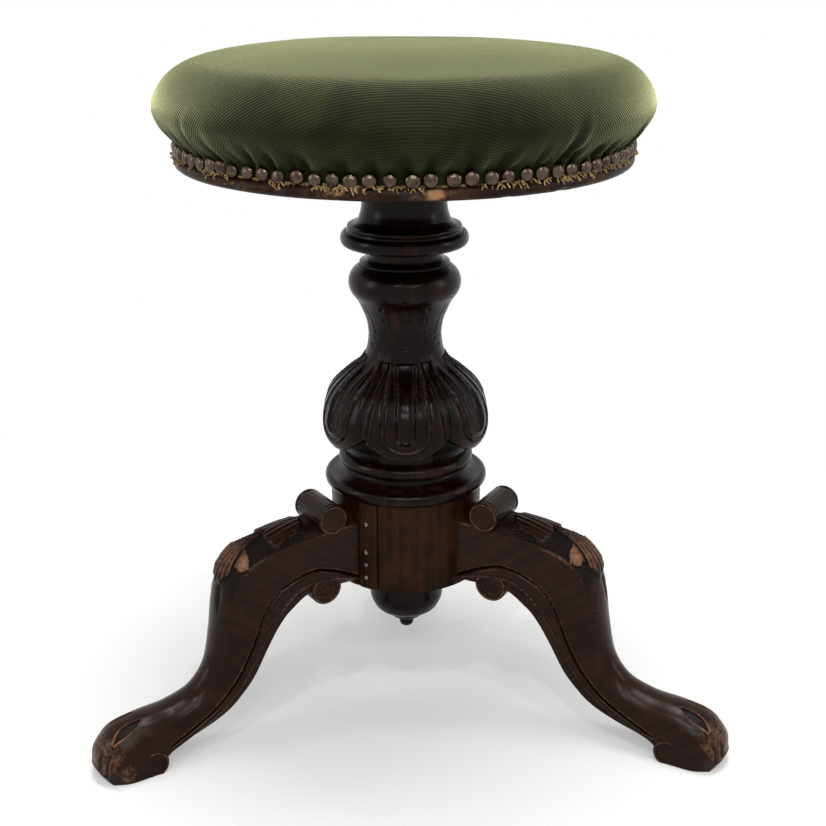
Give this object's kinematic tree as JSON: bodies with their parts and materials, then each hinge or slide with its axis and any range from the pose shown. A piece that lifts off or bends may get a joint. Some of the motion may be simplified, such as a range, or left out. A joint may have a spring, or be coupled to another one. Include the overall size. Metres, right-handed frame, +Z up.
{
  "type": "revolving piano stool",
  "caption": "Round upholstered stool on a turned and carved tripod column; the seat rises on a screw as it is turned.",
  "frame": {"origin": "on the floor under the column's axis", "axes": "+Z up along the column, front towards -Y, third leg towards +Y, +X to the right"},
  "size_m": [0.472, 0.4463, 0.5108],
  "materials": {
    "polished_wood": "dark french polish, worn on the arrises",
    "dark_iron": "greased, turned",
    "steel_screws": "dull",
    "bronzed_nails": "antiqued brown",
    "ribbed_velvet": "fine ribbed green velvet",
    "hessian": "coarse weave, frayed hem",
    "cotton_wadding": "felted cotton",
    "horsehair_stuffing": "matted hair"
  },
  "bodies": {
    "stand": {"column": "polished_wood", "column_nut": "dark_iron", "nut_screws": "steel_screws", "pendant_drop": "polished_wood", "hub_patch": "polished_wood", "patch_nails": "steel_screws", "leg_left": "polished_wood", "leg_right": "polished_wood", "leg_back": "polished_wood"},
    "guide": {"guide_washer": "dark_iron"},
    "seat": {"seat_screw": "dark_iron", "tail_nut": "dark_iron", "tail_pin": "dark_iron", "seat_neck": "polished_wood", "neck_screws": "steel_screws", "seat_plate": "dark_iron", "plate_screws": "steel_screws", "seat_board": "polished_wood", "stuffing": "horsehair_stuffing", "scrim": "hessian", "wadding": "cotton_wadding", "seat_cover": "ribbed_velvet", "seat_nails": "bronzed_nails"}
  },
  "joints": [
    {"name": "screw_lift", "type": "slide", "parent": "stand", "child": "guide", "axis": [0, 0, 1], "range_m": [0, 0.104]},
    {"name": "seat_turn", "type": "hinge", "parent": "guide", "child": "seat", "pos_m": [0, 0, 0.3623], "axis": [0, 0, 1], "range_deg": [0, 4680]}
  ],
  "couplings": [
    {"joint": "screw_lift", "follows": "seat_turn", "m_per_rad": 0.0012732}
  ]
}
